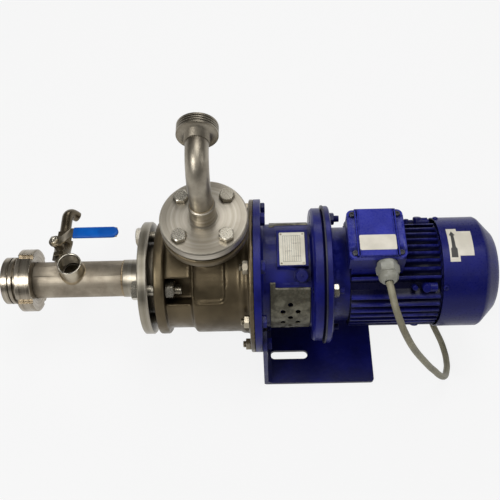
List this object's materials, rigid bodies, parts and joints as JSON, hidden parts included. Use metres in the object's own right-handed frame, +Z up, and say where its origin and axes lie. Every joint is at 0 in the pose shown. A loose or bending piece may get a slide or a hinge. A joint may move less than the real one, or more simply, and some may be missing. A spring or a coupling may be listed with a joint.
{
  "type": "centrifugal pump",
  "caption": "Close-coupled centrifugal pump with flanged suction and discharge pipes, drain valve, bent-plate foot and finned flange motor.",
  "frame": {"origin": "centre of the underside of the foot's base plate", "axes": "+X from the suction end to the motor's fan, +Y to the rear, where the discharge pipe points, +Z up"},
  "size_m": [0.7075, 0.2825, 0.4187],
  "materials": {
    "cast_stainless": "cast and blasted",
    "machined_stainless": "turned",
    "drain_pipe": "dull",
    "bright_fastener": "satin",
    "blue_paint": "semi-gloss",
    "guard_steel": "raw",
    "plate_cream": "satin",
    "gasket_fibre": "matt",
    "black_rubber": "matt",
    "seal_ceramic": "lapped",
    "seal_steel": "satin",
    "seat_ptfe": "matt",
    "lever_zinc": "zinc plated",
    "sleeve_blue": "glossy",
    "core_steel": "laminated",
    "winding_copper": "varnished",
    "bearing_steel": "polished",
    "fan_plastic": "matt",
    "gland_grey": "matt",
    "cable_grey": "matt"
  },
  "bodies": {
    "pump": {"volute_casing": "cast_stainless", "casing_flange": "cast_stainless", "discharge_neck": "cast_stainless", "casing_cover": "cast_stainless", "seal_housing": "cast_stainless", "casing_gasket": "gasket_fibre", "seal_seat": "seal_ceramic", "casing_bolts": "blue_paint", "casing_nuts": "bright_fastener", "lantern": "blue_paint", "guard_front": "guard_steel", "guard_rear": "guard_steel", "lantern_plug": "blue_paint", "nameplate": "plate_cream", "foot": "blue_paint", "flange_gaskets": "gasket_fibre", "counter_flange": "machined_stainless", "suction_pipe": "machined_stainless", "pipe_sockets": "machined_stainless", "suction_bolts": "bright_fastener", "suction_nuts": "bright_fastener", "union_seal": "black_rubber", "inlet_male": "machined_stainless", "valve_body": "cast_stainless", "valve_end_cap": "cast_stainless", "valve_seats": "seat_ptfe", "drain_elbow": "drain_pipe", "riser_flange": "machined_stainless", "riser_pipe": "machined_stainless", "discharge_bolts": "bright_fastener", "discharge_nuts": "bright_fastener", "motor_gasket": "black_rubber", "motor_bolts": "blue_paint", "flange_shield": "blue_paint", "motor_frame": "blue_paint", "rear_shield": "blue_paint", "stator_core": "core_steel", "stator_windings": "winding_copper", "motor_bearings": "bearing_steel", "fan_cover": "blue_paint", "terminal_box": "blue_paint", "terminal_lid": "blue_paint", "cover_screws": "bright_fastener", "cable_gland": "gland_grey", "cable": "cable_grey", "cable_coil": "cable_grey", "plug": "black_rubber"},
    "rotor": {"impeller": "machined_stainless", "impeller_nut": "machined_stainless", "seal_head": "seal_steel", "stub_shaft": "machined_stainless", "motor_shaft": "machined_stainless", "rotor_core": "core_steel", "fan": "fan_plastic"},
    "valve_spindle": {"valve_ball": "machined_stainless", "valve_stem": "machined_stainless", "stem_nut": "machined_stainless", "valve_lever": "lever_zinc", "lever_sleeve": "sleeve_blue"},
    "union_ring": {"union_nut": "machined_stainless"}
  },
  "joints": [
    {"name": "shaft_spin", "type": "hinge", "parent": "pump", "child": "rotor", "pos_m": [0, 0, 0.132], "axis": [1, 0, 0], "continuous": true},
    {"name": "valve_lever_turn", "type": "hinge", "parent": "pump", "child": "valve_spindle", "pos_m": [-0.386, 0.05, 0.132], "axis": [-0.1564, 0, 0.9877], "range_deg": [0, 90]},
    {"name": "union_nut_turn", "type": "hinge", "parent": "pump", "child": "union_ring", "pos_m": [-0.426, 0, 0.132], "axis": [1, 0, 0], "continuous": true}
  ]
}
